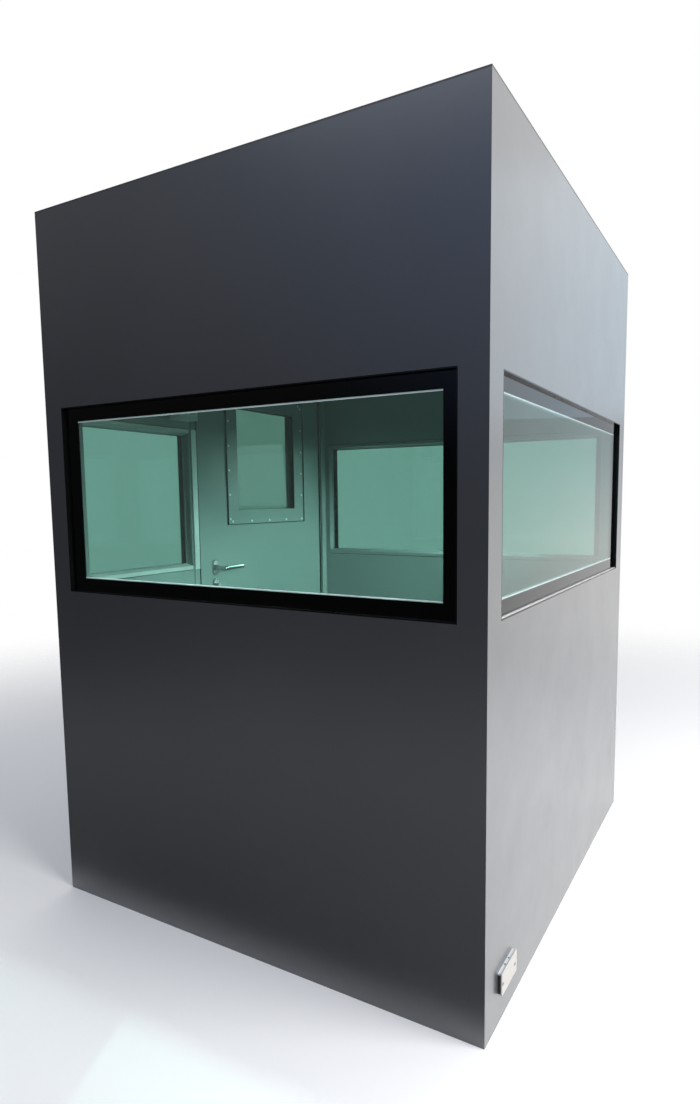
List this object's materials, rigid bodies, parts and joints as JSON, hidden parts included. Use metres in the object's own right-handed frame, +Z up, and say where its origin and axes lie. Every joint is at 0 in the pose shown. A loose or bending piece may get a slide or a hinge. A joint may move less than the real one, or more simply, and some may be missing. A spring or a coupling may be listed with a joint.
{
  "type": "security guard booth",
  "caption": "Steel guard booth with large green-tinted windows on all sides and an outward opening door with a vision panel.",
  "frame": {"origin": "on the ground, under the middle of the whole object's box", "axes": "+X to the right along the front, +Y from the front to the back, +Z up"},
  "size_m": [1.7446, 1.74, 2.45],
  "materials": {
    "wall_paint": "satin dark grey paint",
    "inner_paint": "satin grey paint",
    "roof_paint": "satin dark grey paint",
    "base_paint": "matt black paint",
    "floor": "matt grey floor paint",
    "window_glass": "clear, green tinted",
    "vision_glass": "clear, dark green tinted",
    "glass_border": "black",
    "liner": "black",
    "trim": "satin grey paint",
    "strip": "satin",
    "handle_metal": "satin",
    "hinge_metal": "satin dark grey paint",
    "pin_metal": "bright",
    "white_box": "smooth white",
    "pale_box": "smooth pale grey"
  },
  "bodies": {
    "booth": {"base_rail_front": "base_paint", "base_rail_back": "base_paint", "base_rail_left": "base_paint", "base_rail_right": "base_paint", "floor_joists": "base_paint", "floor_plate": "floor", "front_wall": "wall_paint", "right_wall": "wall_paint", "back_wall": "wall_paint", "left_wall_front": "wall_paint", "left_wall_rear": "wall_paint", "left_wall_lintel": "wall_paint", "door_threshold": "base_paint", "roof_plate": "roof_paint", "ceiling_panel": "inner_paint", "front_glass": "window_glass", "right_glass": "window_glass", "left_glass": "window_glass", "back_glass": "window_glass", "window_borders": "glass_border", "window_beads": "inner_paint", "window_liners": "liner", "door_stop_latch": "inner_paint", "door_stop_hinge": "inner_paint", "door_stop_head": "inner_paint", "mullion_strip": "strip", "hinge_frame_leaves": "hinge_metal", "hinge_pins": "pin_metal", "strike_plate": "handle_metal", "socket_box_body": "white_box", "socket_box_cover": "white_box", "fitting_box": "pale_box"},
    "door": {"door_leaf": "wall_paint", "door_glass": "vision_glass", "vision_plates": "trim", "vision_liners": "liner", "door_gasket": "liner", "hinge_door_leaves": "hinge_metal", "handle_roses": "handle_metal", "key_cylinder": "handle_metal", "lock_faceplate": "handle_metal"},
    "lever": {"lever_inside": "handle_metal", "lever_outside": "handle_metal"},
    "thumbturn": {"thumbturn_knob": "handle_metal"}
  },
  "joints": [
    {"name": "door_swing", "type": "hinge", "parent": "booth", "child": "door", "pos_m": [-0.81475, 0.752, 1.106], "axis": [0, 0, -1], "range_deg": [0, 110]},
    {"name": "lever_turn", "type": "hinge", "parent": "door", "child": "lever", "pos_m": [-0.76325, -0.11, 1.157], "axis": [-1, 0, 0], "range_deg": [0, 35], "stiffness_Nm_per_rad": 2, "springref_deg": -28.65},
    {"name": "thumbturn_turn", "type": "hinge", "parent": "door", "child": "thumbturn", "pos_m": [-0.71575, -0.11, 1.072], "axis": [1, 0, 0], "range_deg": [0, 90]}
  ]
}
